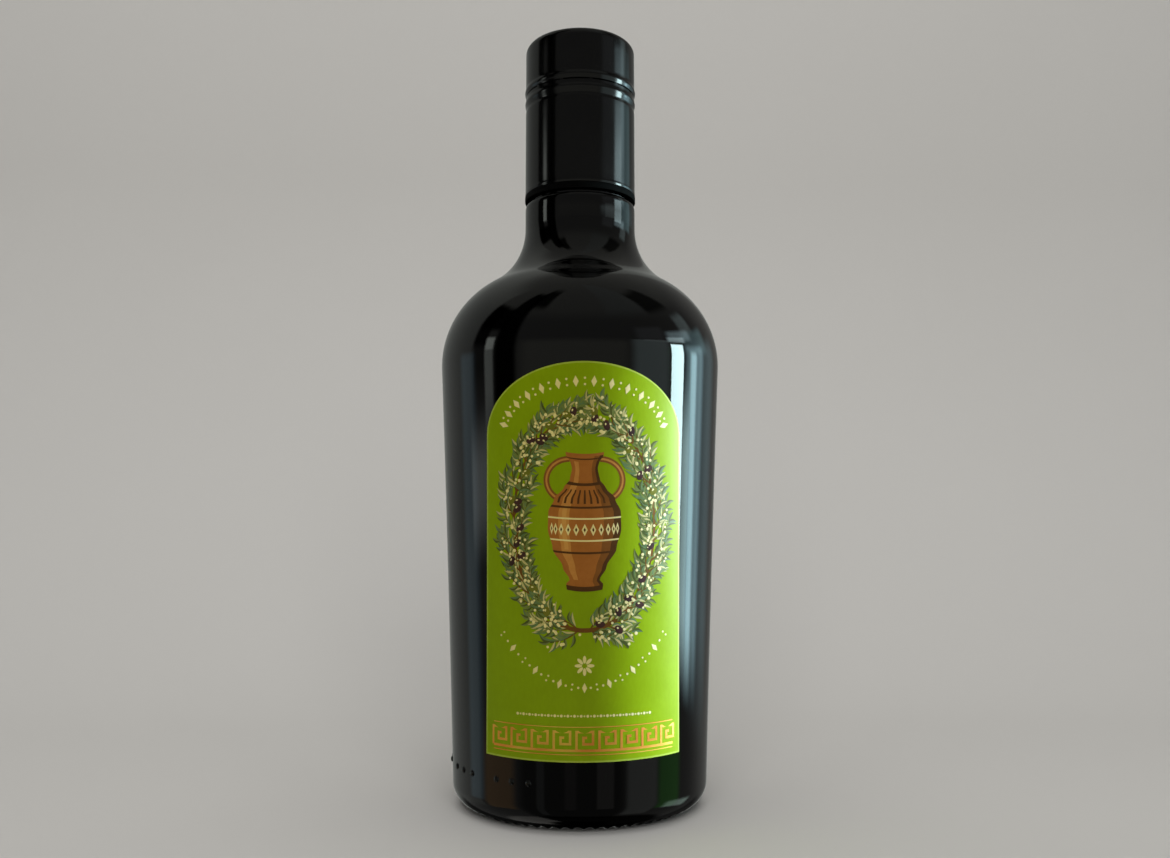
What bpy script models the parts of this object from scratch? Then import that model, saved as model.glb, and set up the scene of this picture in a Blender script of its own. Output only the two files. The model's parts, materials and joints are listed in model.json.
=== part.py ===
"""Olive oil bottle, filled and closed, with an arched front label.

Metres, +Z up. The origin is the middle of the ring that the bottle stands on,
and the label faces -Y. Every round piece is a profile turned about Z.
"""
import math

import bmesh
import bpy

# Glass body, outside
BEARING_RADIUS = 0.02743        # outer edge of the ring that touches the table
BEARING_WIDTH = 0.0022
HEEL_RADIUS = 0.03487           # top of the rounded heel, where the wall starts
HEEL_HEIGHT = 0.00681
WALL_TOP_RADIUS = 0.03925       # the wall widens upwards
WALL_TOP_HEIGHT = 0.11935
WALL_HOLLOW = 0.00018           # how far the wall bows inwards halfway up
SHOULDER_ARC = 0.0269           # round of the shoulder
NECK_ARC = 0.01956              # reversed round where shoulder becomes neck
NECK_RADIUS = 0.01585
COLLAR_HEIGHT = 0.1678          # ledge under the capsule
COLLAR_ROUND_HEIGHT = 0.0016
COLLAR_ROUND_WIDTH = 0.0007

# Glass body, inside
GLASS_WALL = 0.0030
GLASS_FLOOR = 0.0052            # floor thickness over the punt
PUNT_HEIGHT = 0.0035            # hollow under the middle of the base
INNER_HEEL = 0.0075             # round between the floor and the inner wall
MOUTH_RADIUS = 0.0100           # bore through the finish
BORE_TAPER_START = 0.0020       # the bore narrows from here over the neck arc
BORE_TAPER_END = 0.0040         # to here over the collar
LIP_ROUND = 0.0018

# Two-piece metal capsule
TOTAL_HEIGHT = 0.2155
CAP_RADIUS = 0.0159
CAP_THICKNESS = 0.0006
CAP_TOP_THICKNESS = 0.0010
CAP_EDGE_ROUND = 0.0024
TEAR_HEIGHT = 0.2001            # where the cap breaks from the sleeve
CAP_BEAD = (0.0014, 0.00025, 0.0013)            # height over the tear line, swell, half width
SLEEVE_BEAD = (-0.0021, 0.00018, 0.0012)
SLEEVE_GROOVE = (-0.0040, -0.00012, 0.0010)
SLEEVE_BOTTOM = 0.16925
SLEEVE_RIM = (0.0010, 0.00026, 0.0012)          # rolled rim, measured from the sleeve's bottom

# Oil
OIL_LEVEL = 0.1527              # 500 ml mark for this inside shape
OIL_SURFACE_MARGIN = 0.001      # no other ring of the oil's side lies this close to its surface

# Label: cut flat, rolled onto the slightly conical wall
LABEL_BOTTOM = 0.01787
LABEL_HALF_WIDTH = 0.0268
LABEL_SIDE_HEIGHT = 0.0802      # straight side, up to the start of the arch
LABEL_ARCH_RISE = 0.0185
LABEL_THICKNESS = 0.0002
LABEL_COLUMNS = 26
LABEL_ROWS = 10

GAP = 0.0003                    # clearance between touching pieces
TURN_STEPS = 56                 # facets round the bottle
SMALL_TURN_STEPS = 48           # facets round the capsule and the oil
OUTER_ARC_STEPS = 6
INNER_ARC_STEPS = 5
WALL_ROWS = 4
FLOOR_RINGS = 3
PUNT_RINGS = 3
MERGE_DISTANCE = 0.00001

COLLECTION_NAME = "olive_oil_bottle"


def clear_scene():
    for old in list(bpy.data.objects):
        bpy.data.objects.remove(old, do_unlink=True)


def make_material(name, colour, roughness, metallic=0.0, transmission=0.0):
    material = bpy.data.materials.new(name)
    material.use_nodes = True
    shader = material.node_tree.nodes["Principled BSDF"]
    shader.inputs["Base Color"].default_value = (*colour, 1.0)
    shader.inputs["Roughness"].default_value = roughness
    shader.inputs["Metallic"].default_value = metallic
    shader.inputs["Transmission Weight"].default_value = transmission
    material.diffuse_color = (*colour, 1.0)
    return material


def arc(centre, radii, start, end, steps):
    """Points on an ellipse about centre (r, z), from angle start to end in degrees."""
    points = []
    for index in range(steps + 1):
        angle = math.radians(start + (end - start) * index / steps)
        points.append((centre[0] + radii[0] * math.cos(angle), centre[1] + radii[1] * math.sin(angle)))
    return points


def wall_radius(height):
    """Outside radius of the conical wall at a height."""
    share = (height - HEEL_HEIGHT) / (WALL_TOP_HEIGHT - HEEL_HEIGHT)
    straight = HEEL_RADIUS + (WALL_TOP_RADIUS - HEEL_RADIUS) * share
    return straight - 4.0 * WALL_HOLLOW * share * (1.0 - share)


def shoulder_layout():
    """Centres of the shoulder arc and the neck arc, and the angle in degrees where they meet."""
    rise = WALL_TOP_HEIGHT - HEEL_HEIGHT
    lean = math.atan((WALL_TOP_RADIUS - HEEL_RADIUS + 4.0 * WALL_HOLLOW) / rise)
    shoulder = (WALL_TOP_RADIUS - SHOULDER_ARC * math.cos(lean), WALL_TOP_HEIGHT + SHOULDER_ARC * math.sin(lean))
    neck_r = NECK_RADIUS + NECK_ARC
    apart = neck_r - shoulder[0]
    neck = (neck_r, shoulder[1] + math.sqrt((SHOULDER_ARC + NECK_ARC) ** 2 - apart ** 2))
    meeting = math.degrees(math.acos(apart / (SHOULDER_ARC + NECK_ARC)))
    return shoulder, neck, meeting


def side_profile(inset, steps):
    """Neck arc, shoulder and wall from the neck downwards, moved in by inset, as (r, z)."""
    shoulder, neck, meeting = shoulder_layout()
    neck_arc = NECK_ARC + inset
    points = arc(neck, (neck_arc, neck_arc), 180.0, 180.0 + meeting, steps)
    shoulder_arc = SHOULDER_ARC - inset
    points += arc(shoulder, (shoulder_arc, shoulder_arc), meeting, 0.0, steps + 1)[1:]
    for row in range(WALL_ROWS, 0, -1):
        height = HEEL_HEIGHT + (WALL_TOP_HEIGHT - HEEL_HEIGHT) * row / WALL_ROWS
        points.append((wall_radius(height) - inset, height))
    return points


def floor_height(radius):
    """Height of the inner floor, which rises over the punt."""
    edge = BEARING_RADIUS - BEARING_WIDTH
    share = min(radius / edge, 1.0)
    return GLASS_FLOOR + PUNT_HEIGHT * (1.0 - share ** 2)


def inner_profile(inset):
    """Inside of the glass from the neck down to the middle of the floor, moved in by inset."""
    points = side_profile(GLASS_WALL + inset, INNER_ARC_STEPS)
    corner = INNER_HEEL - inset
    flat_radius = HEEL_RADIUS - GLASS_WALL - INNER_HEEL
    centre = (flat_radius, floor_height(flat_radius) + INNER_HEEL)
    points += arc(centre, (corner, corner), 0.0, -90.0, 3)
    for ring in range(FLOOR_RINGS - 1, -1, -1):
        radius = flat_radius * ring / FLOOR_RINGS
        points.append((radius, floor_height(radius) + inset))
    return points


def turn(name, profile, collection, material, closed=False, steps=SMALL_TURN_STEPS):
    """Turn a profile of (r, z) points about Z. An outer side runs top to bottom."""
    mesh = bpy.data.meshes.new(name)
    edges = [(index, index + 1) for index in range(len(profile) - 1)]
    if closed:
        edges.append((len(profile) - 1, 0))
    mesh.from_pydata([(r, 0.0, z) for r, z in profile], edges, [])
    turned = bpy.data.objects.new(name, mesh)
    collection.objects.link(turned)
    screw = turned.modifiers.new("Turn", "SCREW")
    screw.axis = "Z"
    screw.angle = math.tau
    screw.steps = steps
    screw.render_steps = steps
    screw.use_merge_vertices = True
    screw.merge_threshold = MERGE_DISTANCE
    screw.use_smooth_shade = True
    turned.data.materials.append(material)
    return turned


def bump(height, centre, swell, half_width):
    """Rounded swell (or groove) on a straight side, as a change of radius."""
    away = abs(height - centre)
    if away >= half_width:
        return 0.0
    return swell * 0.5 * (1.0 + math.cos(math.pi * away / half_width))


def beaded_side(top, bottom, beads, steps_each=6):
    """A capsule's outer side, straight but for its beads, from top to bottom as (r, z)."""
    heights = {top, bottom}
    for centre, _, half_width in beads:
        for index in range(steps_each + 1):
            height = centre + half_width * (1.0 - 2.0 * index / steps_each)
            if bottom < height < top:
                heights.add(height)
    ordered = sorted(heights, reverse=True)
    return [(CAP_RADIUS + sum(bump(height, *bead) for bead in beads), height) for height in ordered]


def make_glass(collection):
    finish_radius = CAP_RADIUS - CAP_THICKNESS - GAP
    lip = TOTAL_HEIGHT - CAP_TOP_THICKNESS - GAP
    neck_height = shoulder_layout()[1][1]
    outside = arc((finish_radius - LIP_ROUND, lip - LIP_ROUND), (LIP_ROUND, LIP_ROUND), 90.0, 0.0, 3)
    outside.append((finish_radius, COLLAR_HEIGHT))
    collar = (NECK_RADIUS - COLLAR_ROUND_WIDTH, COLLAR_HEIGHT - COLLAR_ROUND_HEIGHT)
    outside += arc(collar, (COLLAR_ROUND_WIDTH, COLLAR_ROUND_HEIGHT), 90.0, 0.0, 3)
    outside += side_profile(0.0, OUTER_ARC_STEPS)
    heel_round = HEEL_RADIUS - BEARING_RADIUS
    outside += arc((BEARING_RADIUS, HEEL_HEIGHT), (heel_round, HEEL_HEIGHT), 0.0, -90.0, 6)
    underside = []
    for ring in range(PUNT_RINGS, -1, -1):
        share = ring / PUNT_RINGS
        underside.append(((BEARING_RADIUS - BEARING_WIDTH) * share, PUNT_HEIGHT * (1.0 - share ** 2)))
    inside = inner_profile(0.0)
    bore = [(NECK_RADIUS - GLASS_WALL, neck_height + BORE_TAPER_START)]
    bore.append((MOUTH_RADIUS, COLLAR_HEIGHT + BORE_TAPER_END))
    bore += arc((MOUTH_RADIUS + LIP_ROUND, lip - LIP_ROUND), (LIP_ROUND, LIP_ROUND), 180.0, 90.0, 2)
    profile = inside[::-1] + bore + outside + underside
    material = make_material("dark_green_glass", (0.010, 0.022, 0.012), 0.04, transmission=0.6)
    return turn("bottle_glass", profile, collection, material, steps=TURN_STEPS)


def make_oil(collection):
    neck = shoulder_layout()[1]
    side = [point for point in inner_profile(GAP) if point[1] < OIL_LEVEL - OIL_SURFACE_MARGIN]
    reach = NECK_ARC + GLASS_WALL + GAP
    surface_radius = neck[0] - math.sqrt(reach ** 2 - (neck[1] - OIL_LEVEL) ** 2)
    profile = [(0.0, OIL_LEVEL), (surface_radius, OIL_LEVEL)] + side
    material = make_material("olive_oil", (0.42, 0.33, 0.03), 0.05, transmission=0.8)
    return turn("olive_oil", profile, collection, material)


def make_cap(collection, material):
    bottom = TEAR_HEIGHT + GAP / 2.0
    lift, swell, half_width = CAP_BEAD
    edge_start = TOTAL_HEIGHT - CAP_EDGE_ROUND
    outside = [(0.0, TOTAL_HEIGHT)]
    outside += arc((CAP_RADIUS - CAP_EDGE_ROUND, edge_start), (CAP_EDGE_ROUND, CAP_EDGE_ROUND), 90.0, 0.0, 5)
    outside += beaded_side(edge_start, bottom, [(TEAR_HEIGHT + lift, swell, half_width)])[1:]
    inner_radius = CAP_RADIUS - CAP_THICKNESS
    ceiling = TOTAL_HEIGHT - CAP_TOP_THICKNESS
    corner = CAP_EDGE_ROUND - CAP_THICKNESS
    inside = [(inner_radius, bottom)]
    inside += arc((inner_radius - corner, ceiling - corner), (corner, corner), 0.0, 90.0, 3)
    inside.append((0.0, ceiling))
    return turn("screw_cap", outside + inside, collection, material)


def make_sleeve(collection, material):
    top = TEAR_HEIGHT - GAP / 2.0
    beads = [(TEAR_HEIGHT + lift, swell, half_width) for lift, swell, half_width in (SLEEVE_BEAD, SLEEVE_GROOVE)]
    beads.append((SLEEVE_BOTTOM + SLEEVE_RIM[0], SLEEVE_RIM[1], SLEEVE_RIM[2]))
    inner_radius = CAP_RADIUS - CAP_THICKNESS
    profile = beaded_side(top, SLEEVE_BOTTOM, beads, 5)
    profile += [(inner_radius, SLEEVE_BOTTOM), (inner_radius, top)]
    return turn("cap_sleeve", profile, collection, material, closed=True)


def wrap_on_wall(across, up):
    """Place a point of the flat label on the wall: across from its middle, up from its foot."""
    foot_radius = wall_radius(LABEL_BOTTOM)
    lean = math.atan((WALL_TOP_RADIUS - HEEL_RADIUS) / (WALL_TOP_HEIGHT - HEEL_HEIGHT))
    slant = foot_radius / math.sin(lean)
    reach = math.hypot(slant + up, across)
    turn_angle = math.atan2(across, slant + up) / math.sin(lean)
    height = LABEL_BOTTOM + (reach - slant) * math.cos(lean)
    radius = wall_radius(height) + GAP
    return radius * math.sin(turn_angle), -radius * math.cos(turn_angle), height


def make_label(collection):
    """A grid whose columns end on the half-ellipse of the arch, rolled on and thickened."""
    cage = bmesh.new()
    bmesh.ops.create_grid(cage, x_segments=LABEL_COLUMNS, y_segments=LABEL_ROWS, size=1.0)
    for vertex in cage.verts:
        sweep = vertex.co.x * math.pi / 2.0
        column_top = LABEL_SIDE_HEIGHT + LABEL_ARCH_RISE * math.cos(sweep)
        up = column_top * (vertex.co.y + 1.0) / 2.0
        vertex.co = wrap_on_wall(LABEL_HALF_WIDTH * math.sin(sweep), up)
    mesh = bpy.data.meshes.new("front_label")
    cage.to_mesh(mesh)
    cage.free()
    mesh.shade_smooth()
    label = bpy.data.objects.new("front_label", mesh)
    collection.objects.link(label)
    thicken = label.modifiers.new("Thickness", "SOLIDIFY")
    thicken.thickness = LABEL_THICKNESS
    thicken.offset = 1.0
    thicken.use_even_offset = True
    mesh.materials.append(make_material("lime_label_paper", (0.19, 0.38, 0.006), 0.45))
    return label


def main():
    clear_scene()
    collection = bpy.data.collections.new(COLLECTION_NAME)
    bpy.context.scene.collection.children.link(collection)
    make_glass(collection)
    make_oil(collection)
    capsule = make_material("black_lacquered_metal", (0.012, 0.012, 0.013), 0.22, metallic=0.0)
    make_cap(collection, capsule)
    make_sleeve(collection, capsule)
    make_label(collection)


main()
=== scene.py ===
import json
import math
import random

import bmesh
import bpy
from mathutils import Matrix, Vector

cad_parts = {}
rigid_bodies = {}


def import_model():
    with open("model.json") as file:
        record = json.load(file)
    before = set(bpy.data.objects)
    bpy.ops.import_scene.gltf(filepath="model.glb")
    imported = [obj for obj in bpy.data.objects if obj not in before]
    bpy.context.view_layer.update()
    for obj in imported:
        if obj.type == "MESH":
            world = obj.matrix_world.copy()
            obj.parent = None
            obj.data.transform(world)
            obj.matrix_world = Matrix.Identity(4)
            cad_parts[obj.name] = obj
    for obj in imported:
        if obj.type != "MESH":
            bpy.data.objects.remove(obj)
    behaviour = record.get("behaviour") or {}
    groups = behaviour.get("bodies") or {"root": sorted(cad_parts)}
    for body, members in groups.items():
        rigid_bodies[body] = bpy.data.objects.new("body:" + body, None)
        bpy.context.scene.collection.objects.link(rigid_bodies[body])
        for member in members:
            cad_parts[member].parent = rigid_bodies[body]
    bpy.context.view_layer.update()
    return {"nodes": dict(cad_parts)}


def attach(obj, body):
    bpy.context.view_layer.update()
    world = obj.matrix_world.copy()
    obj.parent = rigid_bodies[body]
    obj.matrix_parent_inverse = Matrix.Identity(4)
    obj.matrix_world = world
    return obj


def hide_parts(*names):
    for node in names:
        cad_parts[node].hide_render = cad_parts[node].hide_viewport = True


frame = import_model()
print("frame loaded:", ", ".join(sorted(frame["nodes"])))

mm = 0.001


class Wire:  # one output socket; sums and products of wires become Math nodes
    def __init__(self, tree, socket=None):
        self.tree = tree
        self.socket = socket

    def node(self, kind, settings=None, values=None, output=0):
        made = self.tree.nodes.new(kind)
        for key, value in (settings or {}).items():
            setattr(made, key, value)
        for key, value in (values or {}).items():
            if isinstance(value, Wire):
                self.tree.links.new(value.socket, made.inputs[key])
            else:
                made.inputs[key].default_value = value
        return Wire(self.tree, made.outputs[output])

    def maths(self, operation, *values):
        return self.node("ShaderNodeMath", {"operation": operation}, dict(enumerate(values)))

    def __add__(self, other):
        return self.maths("ADD", self, other)

    def __radd__(self, other):
        return self.maths("ADD", other, self)

    def __sub__(self, other):
        return self.maths("SUBTRACT", self, other)

    def __rsub__(self, other):
        return self.maths("SUBTRACT", other, self)

    def __mul__(self, other):
        return self.maths("MULTIPLY", self, other)

    def __rmul__(self, other):
        return self.maths("MULTIPLY", other, self)

    def rise(self, low, high):  # smooth step from 0 at low to 1 at high
        settings = {"interpolation_type": "SMOOTHSTEP"}
        return self.node("ShaderNodeMapRange", settings, {"Value": self, "From Min": low, "From Max": high})

    def inside(self, low, high, soft):  # 1 between low and high, with soft edges
        return self.rise(low - soft / 2, low + soft / 2) * (1 - self.rise(high - soft / 2, high + soft / 2))

    def noise(self, scale, detail=2.0, rough=0.5, stretch=None):
        place = self
        if stretch:
            place = self.node("ShaderNodeMapping", None, {"Vector": self, "Scale": stretch})
        values = {"Vector": place, "Scale": scale, "Detail": detail, "Roughness": rough}
        return self.node("ShaderNodeTexNoise", None, values)

    def blend(self, first, second):  # colour from first to second as this wire goes from 0 to 1
        return self.node("ShaderNodeMix", {"data_type": "RGBA"}, {0: self, 6: first, 7: second}, 2)

    def bump(self, height, strength=1.0, under=None):  # this wire as relief, height in metres
        values = {"Height": self, "Distance": height, "Strength": strength}
        if under:
            values["Normal"] = under
        return self.node("ShaderNodeBump", None, values)


def paint(*colour):
    return (*colour, 1.0)


def newFinish(name, fixed):  # a material with one main shader and its fixed socket values
    material = bpy.data.materials.new(name)
    material.use_nodes = True
    shader = material.node_tree.nodes["Principled BSDF"]
    for key, value in fixed.items():
        shader.inputs[key].default_value = value
    start = Wire(material.node_tree)
    place = start.node("ShaderNodeTexCoord", output="Object")
    return material, shader, place


def feed(shader, **wires):
    for key, wire in wires.items():
        socket = {"colour": "Base Color", "rough": "Roughness", "metal": "Metallic", "normal": "Normal"}[key]
        wire.tree.links.new(wire.socket, shader.inputs[socket])


def fillWithTint(material, place, look):  # what the inside of a clear piece takes out of the light
    values = {"Color": look["tint"], "Density": look["tintDensity"]}
    depth = place.node("ShaderNodeVolumeAbsorption", None, values)
    output = material.node_tree.nodes["Material Output"]
    material.node_tree.links.new(depth.socket, output.inputs["Volume"])


def arc(centre, radii, start, end, steps):  # (r, z) points on an ellipse, angles in degrees
    points = []
    for index in range(steps + 1):
        angle = math.radians(start + (end - start) * index / steps)
        points.append((centre[0] + radii[0] * math.cos(angle), centre[1] + radii[1] * math.sin(angle)))
    return points


def addPiece(name, verts, faces, finishes, replaces=(), inks=None, crease=40.0):
    mesh = bpy.data.meshes.new(name)
    mesh.from_pydata(verts, [], faces)
    for finish in finishes:
        mesh.materials.append(finish)
    if inks:
        mesh.polygons.foreach_set("material_index", inks)
    cage = bmesh.new()
    cage.from_mesh(mesh)
    bmesh.ops.recalc_face_normals(cage, faces=cage.faces)
    cage.to_mesh(mesh)
    cage.free()
    mesh.shade_smooth()
    mesh.set_sharp_from_angle(angle=math.radians(crease))
    piece = bpy.data.objects.new(name, mesh)
    bpy.context.scene.collection.objects.link(piece)
    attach(piece, "root")
    if replaces:
        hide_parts(*replaces)
    return piece


def turned(profile, segments, loop=False, shift=None):  # profile of (r, z) turned about Z
    verts, faces, rings = [], [], []
    for radius, height in profile:
        if radius < 1e-7:
            rings.append([len(verts)] * segments)
            verts.append((0.0, 0.0, height))
            continue
        ring = []
        for step in range(segments):
            angle = math.tau * step / segments
            r, z = shift(radius, height, angle) if shift else (radius, height)
            ring.append(len(verts))
            verts.append((r * math.cos(angle), r * math.sin(angle), z))
        rings.append(ring)
    pairs = list(zip(rings, rings[1:]))
    if loop:
        pairs.append((rings[-1], rings[0]))
    for upper, lower in pairs:
        for step in range(segments):
            after = (step + 1) % segments
            corners = (upper[step], lower[step], lower[after], upper[after])
            faces.append(tuple(dict.fromkeys(corners)))
    return verts, faces


glass = {
    "ringRadius": 27.43 * mm,        # outer edge of the ring that it stands on
    "ringWidth": 2.2 * mm,
    "heelRadius": 34.87 * mm,
    "heelHeight": 6.81 * mm,
    "wallTopRadius": 39.25 * mm,
    "wallTopHeight": 119.35 * mm,
    "wallHollow": 0.18 * mm,
    "shoulderRound": 26.9 * mm,
    "neckRound": 19.56 * mm,
    "neckRadius": 15.85 * mm,
    "collarHeight": 167.8 * mm,
    "collarRound": (0.7 * mm, 1.6 * mm),
    "finishRadius": 15.0 * mm,       # hidden under the capsule
    "lipHeight": 214.2 * mm,
    "lipRound": 1.8 * mm,
    "wall": 3.0 * mm,
    "floor": 5.2 * mm,
    "punt": 3.5 * mm,
    "innerHeel": 7.5 * mm,
    "mouthRadius": 10.0 * mm,
    "segments": 512,
    "knurls": 64,
    "knurlDepth": 0.7 * mm,
    "knurlHeight": 1.7 * mm,
    "knurlFade": 1.0 * mm,
    "boreRise": 2.0 * mm,            # the neck's bore narrows between these two heights
    "boreTaper": 4.0 * mm,
    "dotHeight": 12.3 * mm,          # moulded dots on the lower wall, left of the label
    "dotRadius": 0.85 * mm,
    "dotSwell": 0.45 * mm,
    "dotStep": 7.7,                  # degrees between dots
    "dotStart": -92.4,
    "dotPlaces": (0, 1, 3, 4, 5, 7, 8, 9),
    "dotSunk": 0.08 * mm,
    "tint": paint(0.10, 0.27, 0.04),
    "tintDensity": 900.0,
}


def wallRadius(height):
    share = (height - glass["heelHeight"]) / (glass["wallTopHeight"] - glass["heelHeight"])
    straight = glass["heelRadius"] + (glass["wallTopRadius"] - glass["heelRadius"]) * share
    return straight - 4.0 * glass["wallHollow"] * share * (1.0 - share)


def shoulderLayout():  # centres of shoulder and neck rounds, and the angle where they meet
    rise = glass["wallTopHeight"] - glass["heelHeight"]
    lean = math.atan((glass["wallTopRadius"] - glass["heelRadius"] + 4.0 * glass["wallHollow"]) / rise)
    reach = glass["shoulderRound"]
    shoulder = (glass["wallTopRadius"] - reach * math.cos(lean),
                glass["wallTopHeight"] + reach * math.sin(lean))
    neckR = glass["neckRadius"] + glass["neckRound"]
    apart = neckR - shoulder[0]
    both = reach + glass["neckRound"]
    neck = (neckR, shoulder[1] + math.sqrt(both ** 2 - apart ** 2))
    return shoulder, neck, math.degrees(math.acos(apart / both))


def sideProfile(inset, neckSteps, shoulderSteps, wallRows):
    shoulder, neck, meeting = shoulderLayout()
    neckRound = glass["neckRound"] + inset
    points = arc(neck, (neckRound, neckRound), 180.0, 180.0 + meeting, neckSteps)
    shoulderRound = glass["shoulderRound"] - inset
    points += arc(shoulder, (shoulderRound, shoulderRound), meeting, 0.0, shoulderSteps)[1:]
    for row in range(wallRows, 0, -1):
        height = glass["heelHeight"] + (glass["wallTopHeight"] - glass["heelHeight"]) * row / wallRows
        points.append((wallRadius(height) - inset, height))
    return points


def floorHeight(radius):
    share = min(radius / (glass["ringRadius"] - glass["ringWidth"]), 1.0)
    return glass["floor"] + glass["punt"] * (1.0 - share ** 2)


def innerProfile(inset):  # inside of the glass, neck down to the middle of the floor
    points = sideProfile(glass["wall"] + inset, 10, 12, 8)
    corner = glass["innerHeel"] - inset
    flat = glass["heelRadius"] - glass["wall"] - glass["innerHeel"]
    points += arc((flat, floorHeight(flat) + glass["innerHeel"]), (corner, corner), 0.0, -90.0, 7)
    for ring in range(5, -1, -1):
        radius = flat * ring / 6 if ring else 0.0
        points.append((radius, floorHeight(radius) + inset))
    return points


def knurl(radius, height, angle):  # short bars moulded across the ring that it stands on
    inner = glass["ringRadius"] - glass["ringWidth"]
    if height > glass["knurlHeight"] or radius < inner - glass["knurlFade"]:
        return radius, height
    fade = 1.0 - height / glass["knurlHeight"]
    if radius < inner:
        fade *= max(0.0, 1.0 - (inner - radius) / glass["knurlFade"])
    valley = (0.5 - 0.5 * math.cos(glass["knurls"] * angle)) ** 0.7
    return radius, height + glass["knurlDepth"] * valley * fade


def glassProfile():
    lip = glass["lipHeight"]
    rounding = glass["lipRound"]
    finish = glass["finishRadius"]
    mouth = glass["mouthRadius"]
    neckHeight = shoulderLayout()[1][1]
    inside = innerProfile(0.0)[::-1]
    bore = [(glass["neckRadius"] - glass["wall"], neckHeight + glass["boreRise"]),
            (mouth, glass["collarHeight"] + glass["boreTaper"])]
    bore += arc((mouth + rounding, lip - rounding), (rounding, rounding), 180.0, 90.0, 5)
    outside = arc((finish - rounding, lip - rounding), (rounding, rounding), 90.0, 0.0, 5)
    outside.append((finish, glass["collarHeight"] + 0.3 * mm))
    outside.append((finish + 0.05 * mm, glass["collarHeight"]))
    across, up = glass["collarRound"]
    outside += arc((glass["neckRadius"] - across, glass["collarHeight"] - up), (across, up), 90.0, 0.0, 8)
    outside.append((glass["neckRadius"], (glass["collarHeight"] - up + neckHeight) / 2))
    outside += sideProfile(0.0, 20, 26, 26)
    heelRound = glass["heelRadius"] - glass["ringRadius"]
    heelCentre = (glass["ringRadius"], glass["heelHeight"])
    outside += arc(heelCentre, (heelRound, glass["heelHeight"]), 0.0, -90.0, 16)
    ringInner = glass["ringRadius"] - glass["ringWidth"]
    outside.append((ringInner + glass["ringWidth"] / 2, 0.0))
    underside = []
    for ring in range(12, -1, -1):
        share = ring / 12
        underside.append((ringInner * share, glass["punt"] * (1.0 - share ** 2)))
    return inside + bore + outside + underside


def darkGlassFinish():
    look = {
        "Base Color": paint(0.030, 0.075, 0.025),
        "Roughness": 0.03,
        "IOR": 1.52,
        "Transmission Weight": 1.0,
    }
    material, shader, place = newFinish("darkGreenGlass", look)
    smudge = place.noise(38.0, 4.0, 0.6, (1.0, 1.0, 0.45)).rise(0.52, 0.74)
    feed(shader, rough=0.022 + smudge * 0.03)
    parts = place.node("ShaderNodeSeparateXYZ", None, {"Vector": place}, "Y")
    seam = 1 - parts.maths("ABSOLUTE", parts).rise(0.05 * mm, 0.28 * mm)   # mould line down both sides
    wave = place.noise(16.0, 1.5, 0.4, (1.0, 1.0, 0.6))
    ripple = place.noise(95.0, 2.0, 0.5, (1.0, 1.0, 0.5))
    relief = seam.bump(0.035 * mm, 1.0, ripple.bump(0.006 * mm, 1.0, wave.bump(0.14 * mm)))
    feed(shader, normal=relief)
    fillWithTint(material, place, glass)
    return material


glassFinish = darkGlassFinish()
verts, faces = turned(glassProfile(), glass["segments"], shift=knurl)
addPiece("glassBottle", verts, faces, [glassFinish], ["bottle_glass"])


def mouldedDots():
    verts, faces = [], []
    rings, sides = 5, 18
    for index in glass["dotPlaces"]:
        turn = math.radians(glass["dotStart"] + glass["dotStep"] * index)
        radial = (math.sin(turn), -math.cos(turn))
        along = (math.cos(turn), math.sin(turn))
        base = len(verts)
        surface = wallRadius(glass["dotHeight"]) - glass["dotSunk"]
        for ring in range(rings + 1):
            tilt = math.radians(90.0 * ring / rings)
            wide = glass["dotRadius"] * math.cos(tilt) if ring < rings else 0.0
            out = surface + (glass["dotSwell"] + glass["dotSunk"]) * math.sin(tilt)
            for side in range(sides if ring < rings else 1):
                spin = math.tau * side / sides
                across, up = wide * math.cos(spin), wide * math.sin(spin)
                verts.append((radial[0] * out + along[0] * across, radial[1] * out + along[1] * across,
                              glass["dotHeight"] + up))
        for ring in range(rings - 1):
            for side in range(sides):
                after = (side + 1) % sides
                low, high = base + ring * sides, base + (ring + 1) * sides
                faces.append((low + side, low + after, high + after, high + side))
        tip = base + rings * sides
        last = base + (rings - 1) * sides
        faces += [(last + side, last + (side + 1) % sides, tip) for side in range(sides)]
        faces.append(tuple(base + side for side in range(sides))[::-1])
    return verts, faces


verts, faces = mouldedDots()
addPiece("heelDots", verts, faces, [glassFinish])
print("glass made")


oil = {
    "level": 152.7 * mm,
    "reach": 0.15 * mm,              # how far it goes into the wall, so no air shows between
    "meniscus": 1.1 * mm,
    "segments": 128,
    "tint": paint(0.858, 0.81, 0.067),
    "tintDensity": 60.0,
}


def oilProfile():
    neck = shoulderLayout()[1]
    side = [point for point in innerProfile(-oil["reach"]) if point[1] < oil["level"] - 0.4 * mm]
    reach = glass["neckRound"] + glass["wall"] - oil["reach"]
    rim = neck[0] - math.sqrt(reach ** 2 - (neck[1] - oil["level"]) ** 2)
    surface = [(0.0, oil["level"] - oil["meniscus"] * 0.55)]
    for step in range(1, 9):
        share = step / 8
        surface.append((rim * share, oil["level"] - oil["meniscus"] * 0.55 * (1.0 - share ** 6)))
    return surface + side


def oilFinish():
    look = {
        "Base Color": paint(0.97, 0.95, 0.70),
        "Roughness": 0.02,
        "IOR": 1.47,
        "Transmission Weight": 1.0,
    }
    material, shader, place = newFinish("oliveOil", look)
    feed(shader, rough=0.01 + place.noise(60.0, 2.0) * 0.02, normal=place.noise(30.0, 1.0).bump(0.05 * mm))
    fillWithTint(material, place, oil)
    return material


verts, faces = turned(oilProfile(), oil["segments"])
addPiece("oilFill", verts, faces, [oilFinish()], ["olive_oil"])
print("oil made")


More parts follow.
